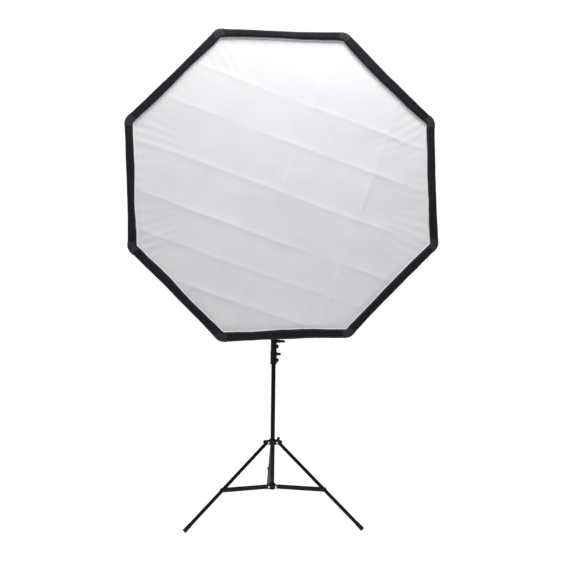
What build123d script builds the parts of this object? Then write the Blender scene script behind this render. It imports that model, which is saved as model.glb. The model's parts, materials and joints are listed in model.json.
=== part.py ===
from build123d import *
import os
from math import atan2, cos, degrees, hypot, radians, sin, tan

# A studio softbox: an eight-sided fabric light box on a tilting flash bracket, carried by a
# folding three-leg light stand. Sizes are millimetres and degrees. Z is up and the box
# faces -Y. Everything is drawn about the stand's column, and moved along Y when written.

# Stand: legs and braces
LEG_AZIMUTHS = (90, 210, 330)
LEG_DROP = 38.9
LEG_PIVOT = (28.0, 320.5)
LEG_LENGTH = 503.2
LEG_RADIUS = 7.5
LEG_WALL = 1.2
LEG_TOP = -5.0
BRACE_ON_LEG = 280.5
BRACE_PIVOT = (24.0, 128.0)
STRIP_HEIGHT = 14.0
STRIP_THICK = 2.0
STRIP_INNER = 8.0
FOOT_RADIUS = 8.7
FOOT_START = 467.0
FOOT_DEPTH = 22.0
PIN_RADIUS = 2.5

# Stand: column sections and their collars
LOWER_TUBE = (9.5, 8.3)
MIDDLE_TUBE = (8.0, 7.0)
UPPER_TUBE = (6.5, 5.6)
LOWER_SPAN = (122.5, 700.0)
MIDDLE_SPAN = (142.0, 752.0)
UPPER_SPAN = (600.0, 1200.0)
LEG_COLLAR_SPAN = (307.5, 329.5)
LUG_REACH = 34.0
HUB_SPAN = (118.5, 138.5)
LOWER_COLLAR_SPAN = (660.0, 713.2)
MIDDLE_COLLAR_SPAN = (713.4, 770.0)
COLLAR_RADIUS = 14.0
SCREW_RADIUS = 3.0
RUN = 0.05

# Spigot and tilting bracket
SPIGOT_RADIUS = 8.0
SPIGOT_TOP = 1240.0
TILT_Z = 1263.0
FORK_HALF = 17.0
TONGUE_HALF = 9.5
FORK_RADIUS = 13.0
UMBRELLA_X = -26.0
UMBRELLA_Z = 1242.0
UMBRELLA_RADIUS = 4.25
SPIGOT_KNOB_Z = 1219.0
AXIS_Z = 1358.0
FRAME_OUTER = 72.0
FRAME_BORE = 52.0
FRAME_FRONT = -45.0
FRAME_BACK = -22.0
RAIL_IN = 44.0
RAIL_OUT = 54.0
RAIL_BACK = 20.0
BRIDGE_SPAN = (1430.0, 1442.0)
LOWER_PAD_TOP = 1326.0
UPPER_PAD_BOTTOM = 1390.0
LATCH_Y = -33.5

# Insert and speedring, measured forwards from the column along the box's own axis
INSERT_OUTER = 50.0
INSERT_BORE = 42.0
SPEEDRING_OUTER = 72.0
SPEEDRING_SPAN = (50.5, 78.0)
LOCK_KNOB_DEPTH = 55.5

# Fabric box
SIDES = 8
REST_TURN = 1.45
HALF_SIDE = 180.0 / SIDES
RIM_FLAT = 562.0
RIM_WIDTH = 30.0
RIM_FRONT = 560.0
RIM_THICK = 8.0
RIM_CORNER = 30.0
RIDGE_START = (95.0, 72.0)
RIDGE_END = (605.0, 551.2)
RIDGE_TURN = 44.0
FABRIC = 1.1
ROD_INSET = 8.0
ROD_RADIUS = 2.0
ROD_END = 0.955
DIFFUSER_FLAT = 552.0
DIFFUSER_FRONT = 549.8
DIFFUSER_THICK = 0.5
BAFFLE_FLAT = 250.0
BAFFLE_DEPTH = 330.0
BAFFLE_THICK = 0.8

BOTTOM = (Align.CENTER, Align.CENTER, Align.MIN)


# ---------------------------------------------------------------- plain shapes

def pole(radius, low, high):
    return Pos(0, 0, low) * Cylinder(radius, high - low, align=BOTTOM)


def tube(outer, inner, low, high):
    return pole(outer, low, high) - pole(inner, low, high)


def bar_x(radius, start, end, y=0.0, z=0.0):
    return Pos(start, y, z) * Rot(0, 90, 0) * Cylinder(radius, end - start, align=BOTTOM)


def bar_y(radius, start, end, x=0.0, z=0.0):
    return Pos(x, start, z) * Rot(-90, 0, 0) * Cylinder(radius, end - start, align=BOTTOM)


def block(x_span, y_span, z_span):
    spans = (x_span, y_span, z_span)
    middle = [(low + high) / 2 for low, high in spans]
    return Pos(*middle) * Box(*[high - low for low, high in spans])


def ring_of(shape, angles):
    return [Rot(0, 0, angle) * shape for angle in angles]


def joined(shapes):
    whole = shapes[0]
    for shape in shapes[1:]:
        whole = whole + shape
    return whole


def group(shapes):
    return Compound(children=[solid for shape in shapes for solid in shape.solids()])


# ---------------------------------------------------------------- knobs

def wing_knob(tip, seat, end, half_span):
    """A clamp screw along +X with a flat wing head that spreads along Y."""
    wing_thick = 9.0
    outline = Polyline(
        (seat + 2, -5), (end - 7, -half_span), (end, -half_span), (end - 1.5, 0),
        (end, half_span), (end - 7, half_span), (seat + 2, 5), close=True,
    )
    wing = extrude(make_face(outline), wing_thick / 2, both=True)
    wing = fillet(wing.edges().filter_by(Axis.Z), 1.2)
    return wing + bar_x(6.0, seat, end - 4) + bar_x(SCREW_RADIUS, tip, seat + 1)


def star_knob(tip, seat, end, radius, lobes, screw=SCREW_RADIUS):
    """A screw along +X with a round head that has finger scallops."""
    scallop = radius * 0.32
    head = bar_x(radius, seat + 2, end)
    for index in range(lobes):
        angle = radians(360 * index / lobes)
        reach = radius + scallop * 0.45
        head = head - bar_x(scallop, seat, end + 1, reach * cos(angle), reach * sin(angle))
    return head + bar_x(radius * 0.55, seat, seat + 3) + bar_x(screw, tip, seat + 1)


# ---------------------------------------------------------------- stand

def column_lower():
    return tube(*LOWER_TUBE, *LOWER_SPAN)


def column_end_cap():
    low = LOWER_SPAN[0]
    return pole(12.5, low - 8, low - 4) + pole(LOWER_TUBE[1], low - 5, low + 9)


def brace_hub():
    low, high = HUB_SPAN
    ear = block((10, BRACE_PIVOT[0]), (-7.5, 7.5), (BRACE_PIVOT[1] - 6.5, BRACE_PIVOT[1] + 6.5))
    ear = ear + bar_y(6.5, -7.5, 7.5, *BRACE_PIVOT)
    body = joined([pole(15.0, low, high)] + ring_of(ear, LEG_AZIMUTHS))
    pin_hole = bar_y(PIN_RADIUS, -20, 20, *BRACE_PIVOT)
    for hole in ring_of(pin_hole, LEG_AZIMUTHS):
        body = body - hole
    return body - pole(LOWER_TUBE[0], low - 1, high + 1)


def brace_hub_pins():
    pin = bar_y(PIN_RADIUS, -11.4, 11.4, *BRACE_PIVOT)
    for side in (-1, 1):
        ends = sorted((side * 10.3, side * 11.6))
        pin = pin + bar_y(4.2, *ends, *BRACE_PIVOT)
    return group(ring_of(pin, LEG_AZIMUTHS))


def clamp_collar(span, radius, bores, ear_z, knob_z, boss_end):
    """A collar that grips one tube and guides the next, with a pinch ear and a knob boss."""
    low, high = span
    shoulder, (grip, slide) = bores[0], bores[1]
    body = pole(radius, low, high) + pole(radius + 1.2, high - 7, high) + pole(radius + 1.2, low, low + 4)
    body = body + block((8, radius + 8), (-6, 6), (ear_z - 8, ear_z + 8))
    body = body + bar_x(7.5, 6, boss_end, 0, knob_z)
    body = body - pole(grip, low - 1, shoulder) - pole(slide, low, high + 1)
    body = body - block((slide, radius + 9), (-0.8, 0.8), (low - 1, ear_z + 9))
    return body - bar_x(SCREW_RADIUS + RUN, 4, boss_end + 1, 0, knob_z)


def pinch_screw(x, z):
    head = Pos(x, -9.5, z) * Rot(-90, 0, 0) * extrude(RegularPolygon(4.4, 6), 3.4)
    return head + bar_y(2.0, -6.5, 9.0, x, z) + bar_y(3.8, 6.05, 9.0, x, z)


def collar_with_screw(span, radius, bores, ear_z, knob_z, boss_end):
    collar = clamp_collar(span, radius, bores, ear_z, knob_z, boss_end)
    screw_x = radius + 4
    collar = collar - bar_y(2.0, -7, 7, screw_x, ear_z)
    return group([collar, pinch_screw(screw_x, ear_z)])


def collar_lower():
    bores = (LOWER_SPAN[1], (LOWER_TUBE[0], MIDDLE_TUBE[0] + RUN))
    return collar_with_screw(LOWER_COLLAR_SPAN, COLLAR_RADIUS, bores, 677.0, 704.0, 17.0)


def collar_middle():
    bores = (MIDDLE_SPAN[1], (MIDDLE_TUBE[0], UPPER_TUBE[0] + RUN))
    return collar_with_screw(MIDDLE_COLLAR_SPAN, COLLAR_RADIUS - 1, bores, 737.0, 760.0, 26.0)


def collar_lower_knob():
    return Pos(0, 0, 704.0) * wing_knob(MIDDLE_TUBE[0] + 0.4, 17.2, 31.0, 19.0)


def collar_middle_knob():
    return Pos(0, 0, 760.0) * wing_knob(UPPER_TUBE[0] + 0.4, 26.2, 48.0, 21.0)


def column_middle():
    return tube(*MIDDLE_TUBE, *MIDDLE_SPAN)


def middle_guide_bush():
    low = MIDDLE_SPAN[0]
    return tube(LOWER_TUBE[1] - RUN, MIDDLE_TUBE[0], low, low + 28) + tube(
        LOWER_TUBE[1] - RUN, MIDDLE_TUBE[1], low - 3, low)


def column_upper():
    return tube(*UPPER_TUBE, *UPPER_SPAN)


def upper_guide_bush():
    low = UPPER_SPAN[0]
    return tube(MIDDLE_TUBE[1] - RUN, UPPER_TUBE[0], low, low + 25) + tube(
        MIDDLE_TUBE[1] - RUN, UPPER_TUBE[1], low - 3, low)


def top_spigot():
    base = UPPER_SPAN[1]
    spigot = pole(SPIGOT_RADIUS, base, SPIGOT_TOP) + pole(9.5, base, base + 1.5)
    spigot = spigot - tube(SPIGOT_RADIUS + 1, 6.4, SPIGOT_KNOB_Z - 4, SPIGOT_KNOB_Z + 4)
    spigot = spigot + pole(UPPER_TUBE[1], base - 22, base + 1)
    return spigot + pole(3.1, SPIGOT_TOP - 1, SPIGOT_TOP + 9)


def leg_collar():
    low, high = LEG_COLLAR_SPAN
    lug = block((10, LUG_REACH), (8, 11), (LEG_PIVOT[1] - 8, LEG_PIVOT[1] + 8))
    lug = lug + bar_y(8, 8, 11, LUG_REACH, LEG_PIVOT[1])
    web = block((10, 17.5), (-11, 11), (low + 2, high - 2))
    arm = lug + mirror(lug, Plane.XZ) + web
    body = joined([pole(15.5, low, high)] + ring_of(arm, LEG_AZIMUTHS))
    body = body + Rot(0, 0, 30) * bar_x(7.0, 10, 21, 0, LEG_PIVOT[1])
    pin_hole = bar_y(PIN_RADIUS, -20, 20, *LEG_PIVOT)
    for hole in ring_of(pin_hole, LEG_AZIMUTHS):
        body = body - hole
    body = body - Rot(0, 0, 30) * bar_x(SCREW_RADIUS + RUN, 5, 25, 0, LEG_PIVOT[1])
    return body - pole(LOWER_TUBE[0] + RUN, low - 1, high + 1)


def leg_pins():
    pin = bar_y(PIN_RADIUS, -12.4, 12.4, *LEG_PIVOT)
    for side in (-1, 1):
        ends = sorted((side * 11.0, side * 12.6))
        pin = pin + bar_y(4.2, *ends, *LEG_PIVOT)
    return group(ring_of(pin, LEG_AZIMUTHS))


def leg_collar_knob():
    knob = wing_knob(LOWER_TUBE[0] + 0.4, 21.2, 35.0, 17.0)
    return Rot(0, 0, 30) * Pos(0, 0, LEG_PIVOT[1]) * Rot(90, 0, 0) * knob


def leg_place(azimuth):
    return Rot(0, 0, azimuth) * Pos(LEG_PIVOT[0], 0, LEG_PIVOT[1]) * Rot(0, LEG_DROP, 0)


def leg(azimuth):
    end = FOOT_START + FOOT_DEPTH
    shape = bar_x(LEG_RADIUS, LEG_TOP, end) - bar_x(LEG_RADIUS - LEG_WALL, LEG_TOP - 1, end + 1)
    shape = shape - bar_y(PIN_RADIUS + RUN, -10, 10)
    return leg_place(azimuth) * (shape - bar_y(PIN_RADIUS + RUN, -10, 10, BRACE_ON_LEG, 0))


def foot(azimuth):
    tube_end = FOOT_START + FOOT_DEPTH
    shape = bar_x(FOOT_RADIUS, FOOT_START, LEG_LENGTH)
    shape = chamfer(shape.edges().sort_by(Axis.X)[0], 1.2)
    for index in range(3):
        start = FOOT_START + 5 + 5 * index
        groove = bar_x(FOOT_RADIUS + 1, start, start + 2) - bar_x(FOOT_RADIUS - 0.5, start, start + 2)
        shape = shape - groove
    shape = shape - bar_x(LEG_RADIUS, FOOT_START - 1, tube_end)
    floor = block((-600, 600), (-600, 600), (-60, 0))
    return leg_place(azimuth) * shape - floor


def brace_lie():
    """Length and rise of a brace, from the hub's pivot to the middle pivot of the leg."""
    middle_r = LEG_PIVOT[0] + BRACE_ON_LEG * cos(radians(LEG_DROP))
    middle_z = LEG_PIVOT[1] - BRACE_ON_LEG * sin(radians(LEG_DROP))
    run, rise = middle_r - BRACE_PIVOT[0], middle_z - BRACE_PIVOT[1]
    return hypot(run, rise), degrees(atan2(rise, run))


def brace(azimuth):
    length, rise = brace_lie()
    radius = STRIP_HEIGHT / 2
    outer = STRIP_INNER + STRIP_THICK
    strip = block((0, length), (STRIP_INNER, outer), (-radius, radius))
    strip = strip + bar_y(radius, STRIP_INNER, outer) + bar_y(radius, STRIP_INNER, outer, length)
    bead = block((18, length - 18), (outer - 0.5, outer + 0.9), (-1.6, 1.6))
    strip = strip + bead - bar_y(PIN_RADIUS + RUN, 0, 20)
    strip = strip - bar_y(PIN_RADIUS, 0, 20, length)
    rivet = bar_y(PIN_RADIUS, STRIP_INNER, outer + 0.5, length) + bar_y(4.4, outer, outer + 1.3, length)
    pair = [strip, rivet, mirror(strip, Plane.XZ), mirror(rivet, Plane.XZ)]
    place = Rot(0, 0, azimuth) * Pos(BRACE_PIVOT[0], 0, BRACE_PIVOT[1]) * Rot(0, -rise, 0)
    return group([place * shape for shape in pair])


# ---------------------------------------------------------------- tilting bracket

def tilt_base():
    """Socket over the spigot, with a fork for the tilt bolt and a hole for an umbrella shaft."""
    socket_low = UPPER_SPAN[1] + 2.5
    deck = (SPIGOT_TOP + 4, TILT_Z - 14.5)
    body = pole(14.0, socket_low, deck[1]) + pole(15.5, socket_low, socket_low + 5)
    body = body + block((-FORK_HALF, FORK_HALF), (-FORK_RADIUS, FORK_RADIUS), deck)
    for side in (-1, 1):
        span = sorted((side * (TONGUE_HALF + 0.5), side * FORK_HALF))
        body = body + block(span, (-FORK_RADIUS, FORK_RADIUS), (deck[0], TILT_Z))
        body = body + bar_x(FORK_RADIUS, *span, 0, TILT_Z)
    body = body + bar_x(8.0, 10, 21, 0, SPIGOT_KNOB_Z)
    body = body + bar_y(8.0, -FORK_RADIUS, FORK_RADIUS, UMBRELLA_X, UMBRELLA_Z)
    web = block((UMBRELLA_X, -10), (-FORK_RADIUS, FORK_RADIUS), (UMBRELLA_Z - 6, UMBRELLA_Z + 6))
    body = body + web + bar_x(5.0, UMBRELLA_X - 11, UMBRELLA_X, 0, UMBRELLA_Z)
    body = body - pole(SPIGOT_RADIUS + RUN, socket_low - 1, SPIGOT_TOP + 0.5)
    body = body - pole(3.6, SPIGOT_TOP, SPIGOT_TOP + 10)
    body = body - bar_y(UMBRELLA_RADIUS, -20, 20, UMBRELLA_X, UMBRELLA_Z)
    body = body - bar_x(2.0 + RUN, UMBRELLA_X - 12, UMBRELLA_X, 0, UMBRELLA_Z)
    body = body - bar_x(SCREW_RADIUS + RUN, 0, 25, 0, SPIGOT_KNOB_Z)
    return body - bar_x(4.0, -30, 30, 0, TILT_Z)


def tilt_bolt():
    head = Pos(-FORK_HALF - 5, 0, TILT_Z) * Rot(0, 90, 0) * extrude(RegularPolygon(7.5, 6), 5)
    return bar_x(4.0, -FORK_HALF - 1, FORK_HALF + 12, 0, TILT_Z) + head


def tilt_lever():
    """Clamp lever on the end of the tilt bolt, its handle leaning back and down."""
    start = FORK_HALF + 0.3
    hub = bar_x(8.5, start, start + 11)
    neck = block((start + 3, start + 11), (0, 26), (-4.2, 4.2))
    grip = bar_y(5.0, 22, 62, start + 8.5) + Pos(start + 8.5, 62, 0) * Sphere(5.0)
    lever = hub + neck + grip - bar_x(4.0 + RUN, start - 1, start + 12)
    return Pos(0, 0, TILT_Z) * Rot(-20, 0, 0) * lever


def spigot_knob():
    return Pos(0, 0, SPIGOT_KNOB_Z) * star_knob(7.0, 21.2, 37.0, 13.0, 6)


def umbrella_screw():
    knob = star_knob(UMBRELLA_RADIUS + 0.5, 11.2, 21.0, 6.5, 6, screw=2.0)
    return Pos(UMBRELLA_X, 0, UMBRELLA_Z) * Rot(0, 0, 180) * knob


def bracket_frame():
    """Round mount ring, side rails with a bridge for the flash clamp, and the tilt tongue."""
    ring_low = AXIS_Z - FRAME_OUTER
    shelf = (ring_low - 4, ring_low + 22)
    face = Pos(0, AXIS_Z) * Circle(FRAME_OUTER)
    face = face + Pos(0, ring_low + 9) * Rectangle(40, 26) + Pos(0, AXIS_Z + 68) * Rectangle(22, 12)
    face = face - Pos(0, AXIS_Z) * Circle(FRAME_BORE)
    ring = extrude(Plane.XZ.offset(-FRAME_BACK) * face, FRAME_BACK - FRAME_FRONT)
    rails = [(-RAIL_OUT, -RAIL_IN), (RAIL_IN, RAIL_OUT)]
    sides = Pos(0, 1372) * Rectangle(2 * RAIL_OUT, 140) - Pos(0, 1371) * Rectangle(2 * RAIL_IN, 118)
    yoke = extrude(Plane.XZ.offset(-RAIL_BACK) * sides, RAIL_BACK - FRAME_BACK)
    seat = block((-20, 20), (FRAME_BACK, 30), (shelf[0], 1302))
    web = block((-TONGUE_HALF, TONGUE_HALF), (-11, 11), (TILT_Z, ring_low))
    tongue = web + bar_x(12.0, -TONGUE_HALF, TONGUE_HALF, 0, TILT_Z)
    body = ring + yoke + seat + tongue
    body = body + Pos(0, 0, BRIDGE_SPAN[1]) * Cylinder(9, 8, align=BOTTOM)
    body = body - Pos(0, LATCH_Y, 0) * pole(2.5 + RUN, 1400, 1433)
    body = body - Pos(0, LATCH_Y, 0) * pole(5.2, 1417, 1433)
    body = body - pole(SCREW_RADIUS + RUN, 1425, 1455)
    for low, high in rails:
        inward = 12 if low < 0 else -12
        notch = sorted((low + inward, high + inward))
        body = body - block(notch, (-15, 12), (1428, 1444))
    return body - bar_x(4.0 + RUN, -30, 30, 0, TILT_Z)


def latch_cover():
    plate = block((-11, 11), (FRAME_FRONT + 1, FRAME_BACK - 1), (1432, 1434.5))
    plate = plate - Pos(0, LATCH_Y, 0) * pole(2.5 + RUN, 1430, 1436)
    screws = [Pos(x, LATCH_Y, 1434.5) * Cylinder(1.8, 1.2, align=BOTTOM) for x in (-8, 8)]
    return joined([plate] + screws)


def release_latch():
    """Sprung locking pin for the insert, with a thumb tab on top."""
    pin = pole(2.5, AXIS_Z + INSERT_OUTER - 2, 1441) + pole(4.8, 1417.4, 1419)
    tab = block((-13, 13), (-6, 6), (1440.5, 1445))
    tab = fillet(tab.edges().filter_by(Axis.Z), 4)
    return Pos(0, LATCH_Y, 0) * (pin + tab)


def latch_spring():
    coils, wire, low, high = 5, 0.45, 1419.6, 1431.4
    path = Helix(pitch=(high - low) / coils, height=high - low, radius=3.9)
    start = path @ 0
    section = Plane(origin=start, z_dir=path % 0) * Circle(wire)
    coil = sweep(section, path=path)
    return Pos(0, LATCH_Y, low) * coil


def lower_pad():
    return fillet(block((-32, 32), (-16, 16), (1312, LOWER_PAD_TOP)).edges().filter_by(Axis.Z), 4)


def clamp_jaw():
    top = UPPER_PAD_BOTTOM + 14
    plate = block((-RAIL_IN + 0.5, RAIL_IN - 0.5), (-18, 18), (UPPER_PAD_BOTTOM + 6, top))
    boss = pole(8.0, top - 1, top + 7)
    return plate + boss - pole(SCREW_RADIUS + RUN, UPPER_PAD_BOTTOM + 9, top + 8)


def upper_pad():
    body = block((-32, 32), (-16, 16), (UPPER_PAD_BOTTOM, UPPER_PAD_BOTTOM + 6))
    return fillet(body.edges().filter_by(Axis.Z), 4)


def clamp_knob():
    knob = star_knob(UPPER_PAD_BOTTOM + 10, 1480.0, 1500.0, 14.0, 6)
    return Rot(0, -90, 0) * knob


# ---------------------------------------------------------------- insert and speedring
# From here on, shapes are drawn with the box's axis along +Z, towards its front.

FACING = Pos(0, 0, AXIS_Z) * Rot(90, 0, 0)
BOX_PLACE = FACING * Rot(0, 0, REST_TURN)


def mount_insert():
    """Bayonet insert: it locks into the bracket, and the speedring turns on its barrel."""
    barrel = pole(INSERT_OUTER, 27, 78.4) + pole(61, 45.3, 50)
    lug = block((INSERT_OUTER - 4, 50.9), (-9, 9), (28, 34))
    body = joined([barrel] + ring_of(lug, (-30, 90 + 120, 90)))
    body = body - pole(INSERT_BORE, 20, 90)
    return FACING * (body - Pos(0, 0, -LATCH_Y) * Rot(-90, 0, 0) * pole(2.9, 40, 60))


def retaining_ring():
    return FACING * tube(58, INSERT_BORE, 78.4, 82)


def speedring_body():
    low, high = SPEEDRING_SPAN
    ring = tube(SPEEDRING_OUTER, INSERT_OUTER + RUN, low, high)
    ring = ring - tube(SPEEDRING_OUTER - 5, 57, low + 20, high + 1)
    (r, z), heading = rod_bow(0.0)
    frame = Pos(r, 0, z) * Rot(0, heading, 0)
    socket = frame * Pos(0, 0, -24) * Cylinder(5.0, 18, align=BOTTOM)
    hole = frame * Pos(0, 0, -21) * Cylinder(ROD_RADIUS, 30, align=BOTTOM)
    ring = joined([ring] + ring_of(socket, corner_angles()))
    boss = bar_x(4.4, SPEEDRING_OUTER - 4, SPEEDRING_OUTER + 7, 0, LOCK_KNOB_DEPTH)
    ring = ring + boss
    for cut in ring_of(hole, corner_angles()):
        ring = ring - cut
    ring = ring - bar_x(2.5 + RUN, INSERT_OUTER - 3, SPEEDRING_OUTER + 9, 0, LOCK_KNOB_DEPTH)
    return BOX_PLACE * (ring - pole(INSERT_OUTER + RUN, low - 1, high + 6))


def speedring_lock_knob():
    knob = star_knob(INSERT_OUTER + 0.5, SPEEDRING_OUTER + 18, SPEEDRING_OUTER + 34, 8.0, 5, screw=2.5)
    return BOX_PLACE * Pos(0, 0, LOCK_KNOB_DEPTH) * knob


# ---------------------------------------------------------------- fabric box

def corner_angles():
    return [HALF_SIDE + 2 * HALF_SIDE * index for index in range(SIDES)]


def side_angles():
    return [2 * HALF_SIDE * index for index in range(SIDES)]


def bow(start, end, turn, inset, along):
    """A point on an arc from start to end that turns by turn, inset to its hollow side,
    and the heading there, measured from the box's axis outwards."""
    across = (end[0] - start[0], end[1] - start[1])
    span = hypot(*across)
    radius = span / (2 * sin(radians(turn / 2)))
    rise = radius * cos(radians(turn / 2))
    centre = (
        (start[0] + end[0]) / 2 - across[1] / span * rise,
        (start[1] + end[1]) / 2 + across[0] / span * rise,
    )
    heading = degrees(atan2(across[0], across[1])) + turn * (0.5 - along)
    reach = radius - inset
    point = (centre[0] + reach * cos(radians(heading)), centre[1] - reach * sin(radians(heading)))
    return point, heading


def rod_bow(along):
    return bow(RIDGE_START, RIDGE_END, RIDGE_TURN, ROD_INSET, along)


def gore():
    """One side of the box: flat across, bowed from the back opening to the front rim."""
    scale = cos(radians(HALF_SIDE))
    start = (RIDGE_START[0] * scale, RIDGE_START[1])
    end = (RIDGE_END[0] * scale, RIDGE_END[1])
    outer = [bow(start, end, RIDGE_TURN, 0, along)[0] for along in (0, 0.5, 1)]
    inner = [bow(start, end, RIDGE_TURN, FABRIC, along)[0] for along in (1, 0.5, 0)]
    outline = ThreePointArc(*outer) + Line(outer[2], inner[0]) + ThreePointArc(*inner)
    outline = outline + Line(inner[2], outer[0])
    half_width = RIDGE_END[0] * sin(radians(HALF_SIDE)) + 5
    sheet = extrude(Plane.XZ * make_face(outline), half_width, both=True)
    far = RIDGE_END[0] + 20
    wedge = make_face(Polyline(
        (0, 0), (far, far * tan(radians(HALF_SIDE))), (far, -far * tan(radians(HALF_SIDE))), close=True))
    return sheet & extrude(wedge, RIM_FRONT + 10)


def canopy_shell():
    return BOX_PLACE * group(ring_of(gore(), side_angles()))


def octagon(flat, corner):
    """An octagon with its flats up and down, the given distance from centre to flat."""
    shape = RegularPolygon(flat / cos(radians(HALF_SIDE)), SIDES, rotation=HALF_SIDE)
    return fillet(shape.vertices(), corner)


def hoop(outer_flat, inner_flat, corner, low, high):
    inner_corner = max(corner - (outer_flat - inner_flat) / 2, 1)
    face = octagon(outer_flat, corner) - octagon(inner_flat, inner_corner)
    return Pos(0, 0, low) * extrude(face, high - low)


def front_rim():
    return BOX_PLACE * hoop(RIM_FLAT, RIM_FLAT - RIM_WIDTH, RIM_CORNER, RIM_FRONT - RIM_THICK, RIM_FRONT)


def hook_and_loop_strip():
    outer = DIFFUSER_FLAT - 1
    return BOX_PLACE * hoop(outer, outer - 17, 20, DIFFUSER_FRONT + 0.2, RIM_FRONT - RIM_THICK - 0.2)


def front_diffuser():
    sheet = extrude(octagon(DIFFUSER_FLAT, 24), DIFFUSER_THICK)
    return BOX_PLACE * Pos(0, 0, DIFFUSER_FRONT - DIFFUSER_THICK) * sheet


def rear_collar():
    """Fabric cuff that closes the back of the box around the speedring."""
    edge = RIDGE_START[0] * cos(radians(HALF_SIDE))
    cuff = tube(edge + 1.5, SPEEDRING_OUTER + 0.5, 60, 61.5)
    return BOX_PLACE * (cuff + tube(edge + 1.5, edge, 60.5, 70))


def rod():
    """A sprung rod: a straight tail in its socket, then one bow to the front corner."""
    (r, z), heading = rod_bow(0.0)
    tail = (r - 20 * sin(radians(heading)), z - 20 * cos(radians(heading)))
    bend = ThreePointArc((r, z), rod_bow(ROD_END / 2)[0], rod_bow(ROD_END)[0])
    path = Plane.XZ * (Line(tail, (r, z)) + bend)
    section = Pos(tail[0], 0, tail[1]) * Rot(0, heading, 0) * Circle(ROD_RADIUS)
    return sweep(section, path=path)


def rod_end_place():
    (r, z), heading = rod_bow(ROD_END)
    return Pos(r, 0, z) * Rot(0, heading, 0)


def rod_tips():
    tip = pole(3.5, -11, 2.5) - pole(ROD_RADIUS + 0.08, -12, 0)
    return BOX_PLACE * group(ring_of(rod_end_place() * tip, corner_angles()))


def corner_pockets():
    pocket = pole(5.4, -7, 4.2) - pole(3.6, -8, 3)
    return BOX_PLACE * group(ring_of(rod_end_place() * pocket, corner_angles()))


def inner_baffle():
    return BOX_PLACE * Pos(0, 0, BAFFLE_DEPTH) * extrude(octagon(BAFFLE_FLAT, 6), BAFFLE_THICK)


def rod_radius_at(depth):
    low, high = 0.0, 1.0
    for _ in range(30):
        middle = (low + high) / 2
        if rod_bow(middle)[0][1] < depth:
            low = middle
        else:
            high = middle
    return rod_bow(low)[0][0]


def baffle_straps():
    start = BAFFLE_FLAT / cos(radians(HALF_SIDE)) + 0.5
    reach = (start, rod_radius_at(BAFFLE_DEPTH) - 5)
    strap = block(reach, (-5, 5), (BAFFLE_DEPTH, BAFFLE_DEPTH + BAFFLE_THICK))
    return BOX_PLACE * group(ring_of(strap, corner_angles()))


# ---------------------------------------------------------------- write the nodes

NODES = {
    "column_lower": column_lower(),
    "column_end_cap": column_end_cap(),
    "brace_hub": brace_hub(),
    "brace_hub_pins": brace_hub_pins(),
    "collar_lower": collar_lower(),
    "collar_lower_knob": collar_lower_knob(),
    "column_middle": column_middle(),
    "middle_guide_bush": middle_guide_bush(),
    "collar_middle": collar_middle(),
    "collar_middle_knob": collar_middle_knob(),
    "column_upper": column_upper(),
    "upper_guide_bush": upper_guide_bush(),
    "top_spigot": top_spigot(),
    "leg_collar": leg_collar(),
    "leg_pins": leg_pins(),
    "leg_collar_knob": leg_collar_knob(),
    "tilt_base": tilt_base(),
    "tilt_bolt": tilt_bolt(),
    "tilt_lever": tilt_lever(),
    "spigot_knob": spigot_knob(),
    "umbrella_screw": umbrella_screw(),
    "bracket_frame": bracket_frame(),
    "latch_cover": latch_cover(),
    "release_latch": release_latch(),
    "latch_spring": latch_spring(),
    "lower_pad": lower_pad(),
    "clamp_jaw": clamp_jaw(),
    "upper_pad": upper_pad(),
    "clamp_knob": clamp_knob(),
    "mount_insert": mount_insert(),
    "retaining_ring": retaining_ring(),
    "speedring_body": speedring_body(),
    "speedring_lock_knob": speedring_lock_knob(),
    "canopy_shell": canopy_shell(),
    "rear_collar": rear_collar(),
    "front_rim": front_rim(),
    "hook_and_loop_strip": hook_and_loop_strip(),
    "front_diffuser": front_diffuser(),
    "rod_tips": rod_tips(),
    "corner_pockets": corner_pockets(),
    "inner_baffle": inner_baffle(),
    "baffle_straps": baffle_straps(),
}

for number, azimuth in enumerate(LEG_AZIMUTHS, start=1):
    NODES[f"leg_{number}"] = leg(azimuth)
    NODES[f"foot_{number}"] = foot(azimuth)
    NODES[f"brace_{number}"] = brace(azimuth)

for number, angle in enumerate(corner_angles(), start=1):
    NODES[f"rod_{number}"] = BOX_PLACE * Rot(0, 0, angle) * rod()

# The origin is below the middle of the whole object's box. The box's front rim is its
# foremost face, and the foot of the back leg is its hindmost.
FOOT_REACH = (LEG_PIVOT[0] + LEG_LENGTH * cos(radians(LEG_DROP))
              + FOOT_RADIUS * sin(radians(LEG_DROP)))
SHIFT_Y = (RIM_FRONT - FOOT_REACH) / 2

os.makedirs("parts", exist_ok=True)
for name, shape in NODES.items():
    export_step(Pos(0, SHIFT_Y, 0) * shape, f"parts/{name}.step")
print("moved along Y by", round(SHIFT_Y, 3))
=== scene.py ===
import bpy
import json
from math import atan2, cos, exp, floor, hypot, pi, radians, sin, tan
from mathutils import Matrix, Vector, noise


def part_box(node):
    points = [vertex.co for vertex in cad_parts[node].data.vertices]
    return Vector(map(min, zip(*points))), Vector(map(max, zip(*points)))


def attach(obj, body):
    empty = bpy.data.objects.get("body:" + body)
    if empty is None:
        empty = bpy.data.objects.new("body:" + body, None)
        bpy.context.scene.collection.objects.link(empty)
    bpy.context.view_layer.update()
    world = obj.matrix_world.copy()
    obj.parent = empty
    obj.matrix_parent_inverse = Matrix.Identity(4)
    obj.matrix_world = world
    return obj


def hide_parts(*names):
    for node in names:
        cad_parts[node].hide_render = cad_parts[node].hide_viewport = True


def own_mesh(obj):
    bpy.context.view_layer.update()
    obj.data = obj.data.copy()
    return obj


# Looks of the studio softbox. Everything is in metres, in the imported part's frame. Soft pieces
# are drawn in the box's own frame, where +Z is the axis towards the front, and then placed.

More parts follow.
